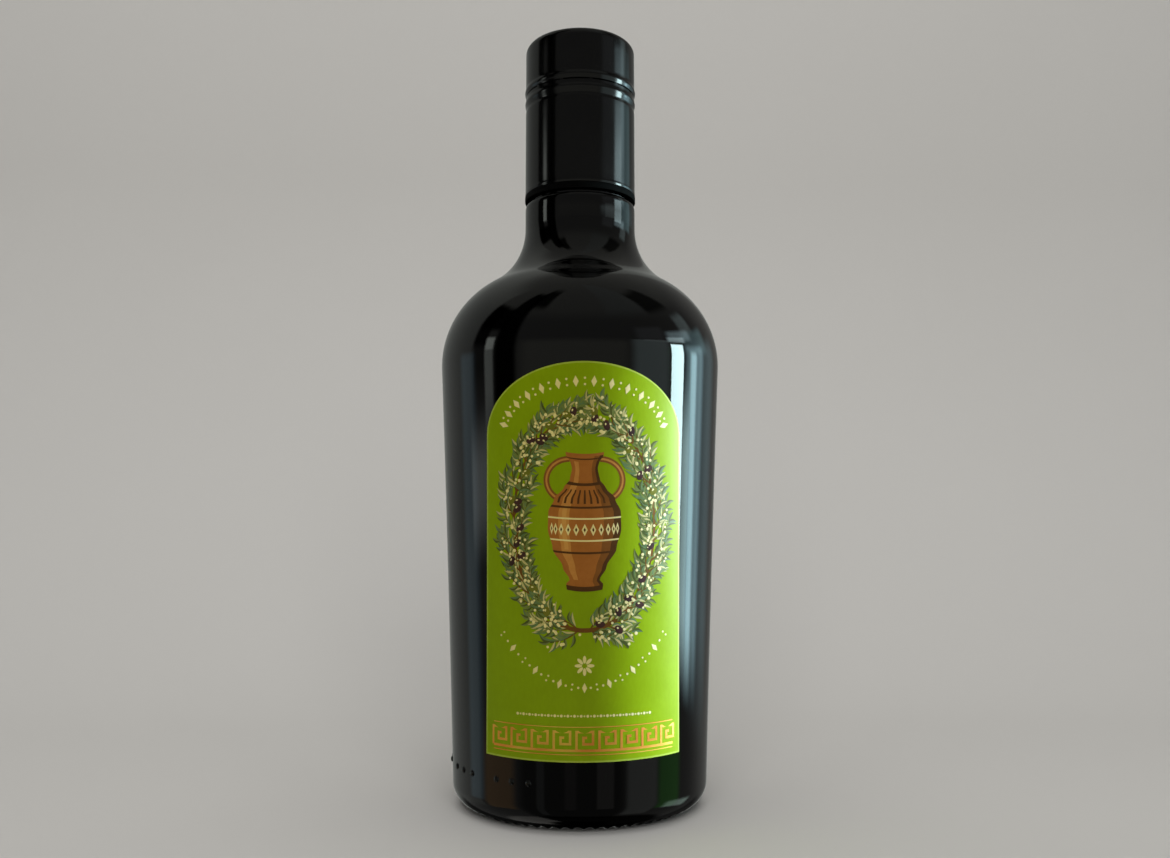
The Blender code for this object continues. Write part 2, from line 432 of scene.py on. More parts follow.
capsule = {
    "radius": 15.9 * mm,
    "top": 215.5 * mm,
    "edgeRound": 2.4 * mm,
    "thickness": 0.6 * mm,
    "topThickness": 1.0 * mm,
    "dish": 0.12 * mm,               # the top sinks a little inside its rolled edge
    "tear": 200.1 * mm,
    "tearGap": 0.3 * mm,
    "bridges": 12,
    "sleeveBottom": 170.5 * mm,
    "blackRingBottom": 168.75 * mm,
    "capBeads": ((201.5 * mm, 0.25 * mm, 1.3 * mm),),
    "sleeveBeads": ((198.0 * mm, 0.18 * mm, 1.2 * mm), (196.1 * mm, -0.12 * mm, 1.0 * mm),
                    (171.2 * mm, 0.05 * mm, 0.6 * mm)),
    "segments": 224,
}


def swellAt(height, beads):
    total = 0.0
    for centre, swell, halfWidth in beads:
        away = abs(height - centre)
        if away < halfWidth:
            total += swell * 0.5 * (1.0 + math.cos(math.pi * away / halfWidth))
    return total


def beadedSide(top, bottom, beads):
    heights = {top, bottom}
    for centre, _, halfWidth in beads:
        for index in range(15):
            height = centre + halfWidth * (1.0 - index / 7)
            if bottom < height < top:
                heights.add(height)
    plain = int((top - bottom) / (3.0 * mm))
    for index in range(1, plain):
        height = top + (bottom - top) * index / plain
        if all(abs(height - centre) > halfWidth + 0.4 * mm for centre, _, halfWidth in beads):
            heights.add(height)
    return [(capsule["radius"] + swellAt(height, beads), height) for height in sorted(heights, reverse=True)]


def capProfile():
    rounding = capsule["edgeRound"]
    bottom = capsule["tear"] + capsule["tearGap"] / 2
    edge = capsule["top"] - rounding
    flat = capsule["radius"] - rounding
    outside = [(0.0, capsule["top"] - capsule["dish"])]
    for share in (0.25, 0.5, 0.75, 0.88, 0.94):
        outside.append((flat * share, capsule["top"] - capsule["dish"] * (1.0 - share ** 8)))
    outside += arc((flat, edge), (rounding, rounding), 90.0, 0.0, 12)
    outside += beadedSide(edge, bottom + 0.06 * mm, capsule["capBeads"])[1:]
    outside.append((capsule["radius"] - 0.08 * mm, bottom))
    inner = capsule["radius"] - capsule["thickness"]
    ceiling = capsule["top"] - capsule["topThickness"]
    corner = rounding - capsule["thickness"]
    inside = [(inner, bottom)]
    inside += arc((inner - corner, ceiling - corner), (corner, corner), 0.0, 90.0, 5)
    return outside + inside + [(0.0, ceiling)]


def sleeveProfile():
    top = capsule["tear"] - capsule["tearGap"] / 2
    bottom = capsule["sleeveBottom"]
    inner = capsule["radius"] - capsule["thickness"]
    points = [(capsule["radius"] - 0.08 * mm, top)]
    points += beadedSide(top - 0.06 * mm, bottom + 0.1 * mm, capsule["sleeveBeads"])
    points += [(capsule["radius"] - 0.1 * mm, bottom), (inner, bottom), (inner, top)]
    return points


# matte black ring round the neck, just under the sleeve's lower edge
def blackRingProfile():
    outer, inner = capsule["radius"] + 0.10 * mm, capsule["radius"] - capsule["thickness"]
    top, bottom = capsule["sleeveBottom"] - 0.04 * mm, capsule["blackRingBottom"]
    points = [(inner, top), (outer - 0.2 * mm, top)]
    points += arc((outer - 0.2 * mm, top - 0.2 * mm), (0.2 * mm, 0.2 * mm), 90.0, 0.0, 4)[1:]
    points += arc((outer - 0.2 * mm, bottom + 0.3 * mm), (0.2 * mm, 0.3 * mm), 0.0, -90.0, 6)
    return points + [(inner + 0.48 * mm, bottom), (inner + 0.05 * mm, bottom + 0.75 * mm)]


# near-black and matte with a fine random grain, so the ring stays black under any light
def blackRingFinish():
    material, shader, place = newFinish("blackRingMatte", {"Base Color": paint(0.002, 0.002, 0.002),
                                                      "Roughness": 0.75, "Specular IOR Level": 0.10})
    grain = place.noise(900.0, 3.0, 0.6)
    feed(shader, colour=grain.blend(paint(0.0012, 0.0012, 0.0012), paint(0.003, 0.003, 0.003)))
    feed(shader, rough=0.65 + grain * 0.2, normal=grain.bump(0.02 * mm, 0.5))
    return material


def tearBridges(verts, faces):  # small uncut tabs that hold the cap to its sleeve
    outer = capsule["radius"] - 0.05 * mm
    inner = capsule["radius"] - capsule["thickness"] + 0.05 * mm
    low = capsule["tear"] - capsule["tearGap"]
    high = capsule["tear"] + capsule["tearGap"] * 0.52
    for index in range(capsule["bridges"]):
        middle = math.tau * (index + 0.3) / capsule["bridges"]
        base = len(verts)
        for turn in (middle - 0.028, middle + 0.028):
            for radius in (inner, outer):
                for height in (low, high):
                    verts.append((radius * math.cos(turn), radius * math.sin(turn), height))
        for corners in ((0, 1, 3, 2), (4, 6, 7, 5), (0, 4, 5, 1), (2, 3, 7, 6), (0, 2, 6, 4), (1, 5, 7, 3)):
            faces.append(tuple(base + corner for corner in corners))


def blackLacquerFinish():
    look = {
        "Base Color": paint(0.002, 0.002, 0.0022),
        "Roughness": 0.2,
        "IOR": 1.5,
    }
    material, shader, place = newFinish("blackLacquer", look)
    cloud = place.noise(70.0, 3.0, 0.6)
    wipe = place.noise(210.0, 4.0, 0.65, (1.0, 1.0, 0.12)).rise(0.55, 0.80)   # upright rubs from handling
    speck = place.noise(1500.0, 2.0).rise(0.70, 0.78)
    feed(shader, colour=(cloud.rise(0.3, 0.7) * 0.6 + speck * 0.6).blend(paint(0.0015, 0.0015, 0.0016),
                                                                        paint(0.004, 0.004, 0.004)))
    feed(shader, rough=0.10 + cloud * 0.05 + wipe * 0.08 + speck * 0.10)
    peel = place.noise(520.0, 2.0, 0.5)
    sag = place.noise(60.0, 1.5, 0.5, (1.0, 1.0, 0.5))
    feed(shader, normal=peel.bump(0.006 * mm, 1.0, sag.bump(0.05 * mm)))
    return material


lacquer = blackLacquerFinish()
verts, faces = turned(capProfile(), capsule["segments"])
addPiece("capTop", verts, faces, [lacquer], ["screw_cap"])
verts, faces = turned(sleeveProfile(), capsule["segments"], loop=True)
tearBridges(verts, faces)
addPiece("capSleeve", verts, faces, [lacquer], ["cap_sleeve"])
verts, faces = turned(blackRingProfile(), capsule["segments"], loop=True)
addPiece("sealRing", verts, faces, [blackRingFinish()])
print("capsule made")


label = {
    "foot": 17.87 * mm,
    "halfWidth": 26.8 * mm,
    "side": 80.2 * mm,               # straight side, up to the start of the arch
    "arch": 18.5 * mm,
    "back": 0.03 * mm,               # off the glass, for its glue
    "front": 0.20 * mm,
    "columns": 96,
    "rows": 84,
    "edgeWidth": 0.42 * mm,
}


def wrap(across, up, lift):  # a point of the flat label, rolled onto the slightly conical wall
    footRadius = wallRadius(label["foot"])
    rise = glass["wallTopHeight"] - glass["heelHeight"]
    lean = math.atan((glass["wallTopRadius"] - glass["heelRadius"]) / rise)
    slant = footRadius / math.sin(lean)
    reach = math.hypot(slant + up, across)
    turn = math.atan2(across, slant + up) / math.sin(lean)
    height = label["foot"] + (reach - slant) * math.cos(lean)
    radius = wallRadius(height) + lift
    return radius * math.sin(turn), -radius * math.cos(turn), height


def labelTop(across):
    share = min(abs(across) / label["halfWidth"], 1.0)
    return label["side"] + label["arch"] * math.sqrt(1.0 - share ** 2)


def labelSheet():
    columns, rows = label["columns"], label["rows"]
    verts, faces = [], []
    for lift in (label["front"], label["back"]):
        for column in range(columns + 1):
            across = label["halfWidth"] * math.sin(math.pi * (column / columns - 0.5))
            top = labelTop(across)
            for row in range(rows + 1):
                verts.append(wrap(across, top * row / rows, lift))
    layer = (columns + 1) * (rows + 1)

    def at(column, row):
        return column * (rows + 1) + row

    for column in range(columns):
        for row in range(rows):
            corners = (at(column, row), at(column + 1, row), at(column + 1, row + 1), at(column, row + 1))
            faces.append(corners)
            faces.append(tuple(layer + corner for corner in corners[::-1]))
    rim = [at(column, 0) for column in range(columns + 1)]
    rim += [at(columns, row) for row in range(1, rows + 1)]
    rim += [at(column, rows) for column in range(columns - 1, -1, -1)]
    rim += [at(0, row) for row in range(rows - 1, 0, -1)]
    for first, second in zip(rim, rim[1:] + rim[:1]):
        faces.append((second, first, layer + first, layer + second))
    return verts, faces


def labelOutline(inset, count):  # points of the label's outline, moved in, from lower left round
    half = label["halfWidth"] - inset
    points = []
    for index in range(count):
        points.append((-half + 2.0 * half * index / count, inset))
    for index in range(count):
        points.append((half, inset + (label["side"] - inset) * index / count))
    for index in range(count):
        angle = math.pi * index / count
        points.append((half * math.cos(angle), label["side"] + (label["arch"] - inset) * math.sin(angle)))
    for index in range(count):
        points.append((-half, label["side"] - (label["side"] - inset) * index / count))
    return points


def limePaperFinish():
    look = {
        "Base Color": paint(0.205, 0.355, 0.001),
        "Roughness": 0.36,
        "IOR": 1.45,
        "Specular IOR Level": 0.14,
    }
    material, shader, place = newFinish("limeLabelPaper", look)
    fibre = place.noise(1500.0, 3.0, 0.65, (1.0, 1.0, 0.35))
    mottle = place.noise(120.0, 3.0, 0.6)
    feed(shader, colour=(mottle.rise(0.35, 0.65) * 0.5 + fibre.rise(0.35, 0.70) * 0.5).blend(
        paint(0.196, 0.338, 0.0004), paint(0.216, 0.374, 0.0015)))
    feed(shader, rough=0.30 + fibre * 0.12 + mottle * 0.05)
    feed(shader, normal=fibre.bump(0.010 * mm, 0.6, mottle.bump(0.015 * mm)))
    return material


paper = limePaperFinish()
verts, faces = labelSheet()
addPiece("frontLabel", verts, faces, [paper], ["front_label"])


# every shape is drawn flat, in mm across and up, and pressed onto the label as a thin closed solid

ink = {
    "lift": 0.022 * mm,
    "step": 0.0022 * mm,             # each next layer of ink stands a little higher
    "sunk": 0.012 * mm,              # how far it goes into the paper
}


def inkFinish(name, colour, deep, rough=0.38, scale=700.0):
    look = {"Base Color": paint(*colour), "Roughness": rough, "IOR": 1.47, "Specular IOR Level": 0.16}
    material, shader, place = newFinish(name, look)
    cloud = place.noise(scale, 3.0, 0.6)
    broad = place.noise(scale / 7.0, 2.0, 0.5)
    feed(shader, colour=(cloud.rise(0.30, 0.70) * 0.6 + broad.rise(0.35, 0.65) * 0.4).blend(
        paint(*colour), paint(*deep)))
    feed(shader, rough=rough - 0.05 + cloud * 0.12)
    feed(shader, normal=cloud.bump(0.006 * mm, 0.7))
    return material


def goldFoilFinish():
    look = {"Base Color": paint(0.80, 0.50, 0.10), "Roughness": 0.30, "Metallic": 0.45}
    material, shader, place = newFinish("goldFoil", look)
    drift = place.noise(75.0, 2.0, 0.5)
    grain = place.noise(1800.0, 2.0)
    feed(shader, colour=drift.rise(0.38, 0.62).blend(paint(0.86, 0.62, 0.12), paint(0.82, 0.33, 0.07)))
    feed(shader, rough=0.26 + grain * 0.12, metal=0.35 + drift * 0.2)
    feed(shader, normal=grain.bump(0.006 * mm, 0.6, place.noise(260.0, 2.0).bump(0.020 * mm)))
    return material


def newPress():
    return {"verts": [], "faces": [], "inks": [], "count": 0}


def press(sheet, points, polygons, colour=0, domes=None, layer=None):
    level = sheet["count"] % 24 if layer is None else layer
    sheet["count"] += 1
    top = label["front"] + ink["lift"] + ink["step"] * level
    base = len(sheet["verts"])
    count = len(points)
    for index, (across, up) in enumerate(points):
        extra = domes[index] * mm if domes else 0.0
        sheet["verts"].append(wrap(across * mm, up * mm, top + extra))
    for across, up in points:
        sheet["verts"].append(wrap(across * mm, up * mm, label["front"] - ink["sunk"]))
    sides = {}
    for polygon in polygons:
        sheet["faces"].append(tuple(base + corner for corner in polygon))
        sheet["faces"].append(tuple(base + count + corner for corner in polygon[::-1]))
        sheet["inks"] += [colour, colour]
        for first, second in zip(polygon, polygon[1:] + polygon[:1]):
            sides[(first, second)] = True
    for first, second in sides:
        if (second, first) not in sides:
            sheet["faces"].append((base + second, base + first, base + count + first, base + count + second))
            sheet["inks"].append(colour)


# a line with mitred corners and its own width at each point
def stroke(sheet, points, widths, colour=0, layer=None):
    if not isinstance(widths, (list, tuple)):
        widths = [widths] * len(points)
    normals = []
    for (x0, y0), (x1, y1) in zip(points, points[1:]):
        length = math.hypot(x1 - x0, y1 - y0)
        normals.append((-(y1 - y0) / length, (x1 - x0) / length))
    sides = []
    for index, (x, y) in enumerate(points):
        before = normals[max(index - 1, 0)]
        after = normals[min(index, len(normals) - 1)]
        nx, ny = before[0] + after[0], before[1] + after[1]
        scale = widths[index] / (nx * after[0] + ny * after[1]) / 2
        sides += [(x + nx * scale, y + ny * scale), (x - nx * scale, y - ny * scale)]
    polygons = [(2 * i, 2 * i + 1, 2 * i + 3, 2 * i + 2) for i in range(len(points) - 1)]
    press(sheet, sides, polygons, colour, layer=layer)


def disc(sheet, x, y, wide, tall, turn, colour=0, swell=0.02, sides=10, layer=None):
    points = [(x, y)]
    for side in range(sides):
        angle = math.tau * side / sides
        across, up = wide * math.cos(angle), tall * math.sin(angle)
        points.append((x + across * math.cos(turn) - up * math.sin(turn),
                       y + across * math.sin(turn) + up * math.cos(turn)))
    polygons = [(0, 1 + side, 1 + (side + 1) % sides) for side in range(sides)]
    press(sheet, points, polygons, colour, [swell] + [0.0] * sides, layer)


def leaf(sheet, x, y, turn, length, width, dark, pale):  # narrow leaf in two tones either side of its rib
    steps = 5
    bend = 0.16 * length
    cosTurn, sinTurn = math.cos(turn), math.sin(turn)

    def place(along, side):
        side += bend * math.sin(math.pi * along / length) - bend * 0.5
        return x + along * cosTurn - side * sinTurn, y + along * sinTurn + side * cosTurn

    rib = [place(length * step / steps, 0.0) for step in range(steps + 1)]
    for direction, colour in ((1.0, dark), (-1.0, pale)):
        edge = []
        for step in range(1, steps):
            share = step / steps
            edge.append(place(length * share, direction * width / 2 * math.sin(math.pi * share ** 0.85)))
        points = rib + edge
        polygons = [(0, 1, steps + 1)]
        for step in range(1, steps - 1):
            polygons.append((step, step + 1, steps + step + 1, steps + step))
        polygons.append((steps - 1, steps, 2 * steps - 1))
        if direction < 0:
            polygons = [polygon[::-1] for polygon in polygons]
        press(sheet, points, [tuple(polygon) for polygon in polygons], colour)


wreath = {
    "centre": (0.0, 58.5),
    "halfWidth": 18.4,
    "halfHeight": 26.5,
    "opening": 6.0,                  # degrees left open at the top
    "stemWidths": (1.1, 0.35),
    "twigs": 27,
    "twigLength": (5.2, 8.2),
    "leafLength": (2.5, 3.9),
    "leafWidth": (0.80, 1.15),
    "twigGap": 0.10,                 # chance that a twig or leaf is left out
    "leafGap": 0.16,
    "blossomChance": 0.52,
    "fruitChance": 0.30,
    "seed": 41,
}


def wreathPoint(side, share):  # from the bottom middle round to the top, on the left or right
    angle = math.radians(-90.0 + side * (180.0 - wreath["opening"]) * share)
    cx, cy = wreath["centre"]
    return cx + wreath["halfWidth"] * math.cos(angle), cy + wreath["halfHeight"] * math.sin(angle)


def drawWreath():
    dice = random.Random(wreath["seed"])
    stems, leaves, dots, fruit = newPress(), newPress(), newPress(), newPress()

    def between(pair):
        return pair[0] + (pair[1] - pair[0]) * dice.random()

    def twoTone():
        return dice.choice(((0, 1), (1, 2), (0, 3), (3, 2), (1, 0), (3, 1)))

    for side in (-1, 1):
        steps = 60
        wide, thin = wreath["stemWidths"]
        line = [wreathPoint(side, step / steps) for step in range(steps + 1)]
        stroke(stems, line, [wide + (thin - wide) * step / steps for step in range(steps + 1)])
        for index in range(wreath["twigs"]):
            share = (index + 0.6 + 0.3 * dice.random()) / (wreath["twigs"] + 0.5)
            x, y = wreathPoint(side, share)
            ahead = wreathPoint(side, share + 0.01)
            heading = math.atan2(ahead[1] - y, ahead[0] - x)
            for hand in (-1, 1):
                if dice.random() < wreath["twigGap"]:
                    continue
                turn = heading + hand * math.radians(28.0 + 24.0 * dice.random())
                length = between(wreath["twigLength"]) * (1.0 - 0.25 * share)
                curl = -hand * math.radians(20.0 + 20.0 * dice.random())
                twig = [(x, y)]
                for step in range(6):
                    bent = turn + curl * step / 6
                    tip = twig[-1]
                    twig.append((tip[0] + length / 6 * math.cos(bent), tip[1] + length / 6 * math.sin(bent)))
                stroke(stems, twig, [0.42 - 0.05 * step for step in range(7)])
                for step in range(1, 7):
                    spot = twig[step]
                    bent = turn + curl * (step - 1) / 6
                    for way in (-1, 1):
                        if dice.random() < wreath["leafGap"]:
                            continue
                        lean = bent + way * math.radians(24.0 + 26.0 * dice.random())
                        dark, pale = twoTone()
                        leaf(leaves, spot[0], spot[1], lean, between(wreath["leafLength"]),
                             between(wreath["leafWidth"]), dark, pale)
                dark, pale = twoTone()
                leaf(leaves, twig[-1][0], twig[-1][1], turn + curl, between(wreath["leafLength"]),
                     between(wreath["leafWidth"]), dark, pale)
                for spot in twig[1:]:
                    if dice.random() < wreath["blossomChance"]:
                        size = 0.26 + 0.20 * dice.random()
                        x0, y0 = spot[0] + dice.uniform(-1.5, 1.5), spot[1] + dice.uniform(-1.5, 1.5)
                        disc(dots, x0, y0, size, size, 0.0, 0, 0.03, 8, 26)
                if dice.random() < wreath["fruitChance"]:
                    spot = twig[dice.choice((1, 2, 3))]
                    disc(fruit, spot[0], spot[1], 0.85, 1.25, lean, dice.choice((0, 0, 1)), 0.05, 14, 27)
                    disc(fruit, spot[0] - 0.25, spot[1] + 0.35, 0.22, 0.36, lean, 2, 0.02, 8, 40)
    return stems, leaves, dots, fruit


jug = {
    "foot": 42.0,
    "height": 34.0,
    "halfWidths": ((0.00, 4.4), (0.04, 4.6), (0.07, 3.7), (0.16, 5.4), (0.30, 8.0), (0.44, 9.2), (0.56, 9.1),
                   (0.66, 7.6), (0.74, 5.2), (0.80, 3.7), (0.88, 3.2), (0.94, 3.7), (0.97, 4.7), (1.00, 4.8)),
    "columns": 18,
    "handleMiddle": (4.0, 0.795),    # mm from the axis, and share of the height
    "handleReach": (5.6, 5.2),
    "handleTurn": (-58.0, 150.0),    # degrees where it starts, and its sweep
    "lozengeRow": 0.446,
}


def jugHalfWidth(share):
    places = jug["halfWidths"]
    for (s0, w0), (s1, w1) in zip(places, places[1:]):
        if share <= s1:
            part = (share - s0) / (s1 - s0)
            part = part * part * (3.0 - 2.0 * part)
            return w0 + (w1 - w0) * part
    return places[-1][1]


def jugPatch(sheet, lowShare, highShare, left, right, colour, layer, rows=10):
    # part of the jug between two heights, and between two shares of its width from -1 to 1
    columns = max(2, int(jug["columns"] * (right - left) / 2))
    points, polygons = [], []
    for row in range(rows + 1):
        share = lowShare + (highShare - lowShare) * row / rows
        half = jugHalfWidth(share)
        for column in range(columns + 1):
            side = left + (right - left) * column / columns
            sag = 0.5 * (1.0 - side ** 2)        # the bands curve as on a round body
            points.append((side * half, jug["foot"] + jug["height"] * share - sag))
    for row in range(rows):
        for column in range(columns):
            corner = row * (columns + 1) + column
            polygons.append((corner, corner + 1, corner + columns + 2, corner + columns + 1))
    press(sheet, points, polygons, colour, layer=layer)


def drawJug():
    clay = newPress()
    away, middle = jug["handleMiddle"]
    wide, tall = jug["handleReach"]
    begin, sweep = jug["handleTurn"]
    for side in (-1, 1):         # handles
        line = []
        for step in range(25):
            share = step / 24
            angle = math.radians(begin + sweep * share)
            line.append((side * (away + wide * math.cos(angle)),
                         jug["foot"] + jug["height"] * middle + tall * math.sin(angle)))
        if side > 0:
            line = line[::-1]
        stroke(clay, line, 1.5, 1, 0)
        stroke(clay, line, 0.5, 2, 3)
    jugPatch(clay, 0.0, 1.0, -1.0, 1.0, 0, 5, 44)
    jugPatch(clay, 0.02, 0.98, 0.52, 1.0, 1, 8, 40)                 # shaded side
    jugPatch(clay, 0.02, 0.98, 0.80, 1.0, 3, 11, 40)
    jugPatch(clay, 0.08, 0.94, -0.72, -0.42, 2, 9, 36)              # lit side
    jugPatch(clay, 0.30, 0.62, -0.62, -0.50, 5, 12, 16)
    for low, high, colour in ((0.00, 0.035, 3), (0.27, 0.285, 3), (0.60, 0.615, 3), (0.765, 0.785, 3),
                              (0.36, 0.372, 4), (0.520, 0.532, 4), (0.955, 0.965, 3)):
        jugPatch(clay, low, high, -1.0, 1.0, colour, 14, 2)
    row = jug["lozengeRow"]
    for index in range(11):      # row of lozenges round the belly
        side = -0.9 + 1.8 * index / 10
        half = jugHalfWidth(row)
        x = math.sin(side * 1.35) / math.sin(1.35) * half * 0.93
        y = jug["foot"] + jug["height"] * row - 0.5 * (1.0 - side ** 2)
        wide = 0.62 * math.cos(side * 1.2) + 0.12
        press(clay, [(x, y + 1.5), (x - wide, y), (x, y - 1.5), (x + wide, y)], [(0, 1, 2, 3)], 4, layer=16)
        press(clay, [(x, y + 0.6), (x - wide * 0.4, y), (x, y - 0.6), (x + wide * 0.4, y)],
              [(0, 1, 2, 3)], 3, layer=19)
    for index in range(9):       # short upright lines on the shoulder
        side = -0.84 + 1.68 * index / 8
        jugPatch(clay, 0.635, 0.735, side - 0.035, side + 0.035, 3, 15, 5)
    return clay


trim = {
    "archInset": 5.0,
    "archTurns": 27,
    "smileTurns": 29,
    "smile": (21.5, 30.5, 12.5),     # half width, height of its ends, and drop of the lower garland
    "rosette": (23.4, 1.5, 8),       # height, reach of its petals, and their number
    "petal": (0.95, 0.42),
    "footDots": 43,
    "footDotsHalf": 17.0,
    "footDotsHeight": 11.2,
    "bandFoot": 2.9,
    "bandUnit": 1.12,
    "bandLine": 0.62,
    "bandHooks": 9,
    "bandHalf": 24.2,
    "bandEdge": 0.22,
}


def lozenge(sheet, x, y, turn, wide, tall, layer=8):
    points = []
    for across, up in ((wide, 0.0), (0.0, tall), (-wide, 0.0), (0.0, -tall)):
        points.append((x + across * math.cos(turn) - up * math.sin(turn),
                       y + across * math.sin(turn) + up * math.cos(turn)))
    facets = [(0, 1, 2), (0, 2, 3), (0, 3, 4), (0, 4, 1)]
    press(sheet, [(x, y)] + points, facets, 0, [0.03, 0, 0, 0, 0], layer)


def drawTrim():
    cream, foil = newPress(), newPress()
    half = label["halfWidth"] / mm - trim["archInset"]
    rise = label["arch"] / mm - trim["archInset"]
    for index in range(trim["archTurns"]):
        angle = math.radians(168.0 - 156.0 * index / (trim["archTurns"] - 1))
        x, y = half * math.cos(angle), label["side"] / mm + rise * math.sin(angle)
        turn = math.atan2(math.sin(angle) / rise, math.cos(angle) / half) - math.pi / 2
        if index % 2 == 0:
            lozenge(cream, x, y, turn, 0.72, 1.45)
        else:
            away = 0.78
            disc(cream, x - away * math.sin(turn), y + away * math.cos(turn), 0.30, 0.30, 0.0, layer=8)
            disc(cream, x + away * math.sin(turn), y - away * math.cos(turn), 0.30, 0.30, 0.0, layer=8)
    wide, ends, drop = trim["smile"]
    for index in range(trim["smileTurns"]):
        share = 2.0 * index / (trim["smileTurns"] - 1) - 1.0
        x, y = wide * share, ends - drop * (1.0 - share ** 2)
        turn = math.atan2(2.0 * drop * share, wide)
        if index % 4 == 2:
            lozenge(cream, x, y, turn, 0.62, 1.25)
        elif index % 2:
            disc(cream, x, y, 0.30, 0.30, 0.0, layer=8)
        else:
            disc(cream, x - 0.62 * math.sin(turn), y + 0.62 * math.cos(turn), 0.26, 0.26, 0.0, layer=8)
            disc(cream, x + 0.62 * math.sin(turn), y - 0.62 * math.cos(turn), 0.26, 0.26, 0.0, layer=8)
    middle, reach, petals = trim["rosette"]
    for petal in range(petals):  # small rosette under the wreath
        angle = math.tau * petal / petals
        disc(cream, reach * math.cos(angle), middle + reach * math.sin(angle), *trim["petal"], angle, layer=8)
    for index in range(trim["footDots"]):
        x = -trim["footDotsHalf"] + 2.0 * trim["footDotsHalf"] * index / (trim["footDots"] - 1)
        size = 0.24 if index % 2 else 0.36
        disc(cream, x, trim["footDotsHeight"], size, size, 0.0, sides=8, layer=8)
    unit = trim["bandUnit"]
    width = unit * 5 * trim["bandHooks"] - unit
    left = -width / 2 + trim["bandLine"] / 2
    foot = trim["bandFoot"]
    for index in range(trim["bandHooks"]):
        x0 = left + index * unit * 5
        hook = ((0.0, 0.0), (0.0, 4.0), (3.6, 4.0), (3.6, 1.35), (1.5, 1.35), (1.5, 2.75), (2.3, 2.75))
        stroke(foil, [(x0 + x * unit, foot + y * unit) for x, y in hook], trim["bandLine"], 0, 8)
    columns = 60
    side, thin = trim["bandHalf"], trim["bandEdge"]
    lines = ((foot - 0.05, trim["bandLine"]), (foot - 1.05, thin), (foot + 4.0 * unit + 1.15, thin))
    for height, line in lines:
        points = [(-side + 2.0 * side * index / columns, height) for index in range(columns + 1)]
        stroke(foil, points, line, 0, 6)
    return cream, foil


def edgeStrip():  # paler cut edge all round the label
    sheet = newPress()
    outer = labelOutline(0.0, 60)
    inner = labelOutline(label["edgeWidth"], 60)
    count = len(outer)
    points = [(x / mm, y / mm) for x, y in outer + inner]
    polygons = []
    for index in range(count):
        after = (index + 1) % count
        polygons.append((index, after, count + after, count + index))
    press(sheet, points, polygons, 0, [-0.012] * count + [-0.004] * count, 0)
    return sheet


def addPrint(name, sheet, finishes):
    verts, faces, inks = sheet["verts"], sheet["faces"], sheet["inks"]
    return addPiece(name, verts, faces, finishes, inks=inks, crease=30.0)


def decorateLabel():
    leafInks = [
        inkFinish("leafInkDeep", (0.050, 0.078, 0.024), (0.078, 0.110, 0.034)),
        inkFinish("leafInkGreen", (0.120, 0.185, 0.062), (0.165, 0.230, 0.085)),
        inkFinish("leafInkPale", (0.430, 0.450, 0.240), (0.520, 0.520, 0.300)),
        inkFinish("leafInkBlue", (0.080, 0.165, 0.085), (0.120, 0.215, 0.120)),
    ]
    bark = inkFinish("barkInk", (0.160, 0.080, 0.018), (0.110, 0.055, 0.014))
    creamInk = inkFinish("creamInk", (0.680, 0.690, 0.420), (0.760, 0.760, 0.500), scale=900.0)
    fruitInks = [
        inkFinish("ripeFruitInk", (0.035, 0.022, 0.030), (0.060, 0.030, 0.035), rough=0.30),
        inkFinish("greenFruitInk", (0.120, 0.150, 0.022), (0.160, 0.180, 0.030), rough=0.30),
        creamInk,
    ]
    clayInks = [
        inkFinish("clayInk", (0.360, 0.150, 0.040), (0.310, 0.125, 0.032)),
        inkFinish("clayShadeInk", (0.215, 0.095, 0.026), (0.180, 0.075, 0.020)),
        inkFinish("clayLightInk", (0.500, 0.260, 0.080), (0.440, 0.215, 0.065)),
        inkFinish("clayLineInk", (0.060, 0.030, 0.012), (0.085, 0.040, 0.014)),
        creamInk,
        inkFinish("clayGlintInk", (0.560, 0.330, 0.110), (0.500, 0.280, 0.090)),
    ]
    edgeInk = inkFinish("labelEdgeInk", (0.300, 0.470, 0.060), (0.340, 0.500, 0.090))
    stems, leaves, dots, fruit = drawWreath()
    cream, foil = drawTrim()
    addPrint("printStems", stems, [bark])
    addPrint("printLeaves", leaves, leafInks)
    addPrint("printBlossom", dots, [creamInk])
    addPrint("printFruit", fruit, fruitInks)
    addPrint("printJug", drawJug(), clayInks)
    addPrint("printTrim", cream, [creamInk])
    addPrint("printFoil", foil, [goldFoilFinish()])
    addPrint("labelEdge", edgeStrip(), [edgeInk])


decorateLabel()
print("label made")


studio = {
    "halfWidth": 1.6,
    "front": -1.4,
    "coveStart": 0.10,
    "coveRound": 0.32,
    "wallMiddle": 0.9,
    "wallTop": 1.5,
    "paper": ((0.60, 0.585, 0.555), (0.63, 0.615, 0.585)),
}


def paleFloorFinish():
    material, shader, place = newFinish("paleFloor", {"Roughness": 0.75, "Specular IOR Level": 0.25})
    low, high = studio["paper"]
    grain = place.noise(420.0, 3.0, 0.6)
    cloud = place.noise(5.0, 2.0, 0.5)
    feed(shader, colour=(grain * 0.4 + cloud * 0.6).blend(paint(*low), paint(*high)))
    feed(shader, rough=0.68 + grain * 0.12, normal=grain.bump(0.04 * mm, 0.4))
    return material


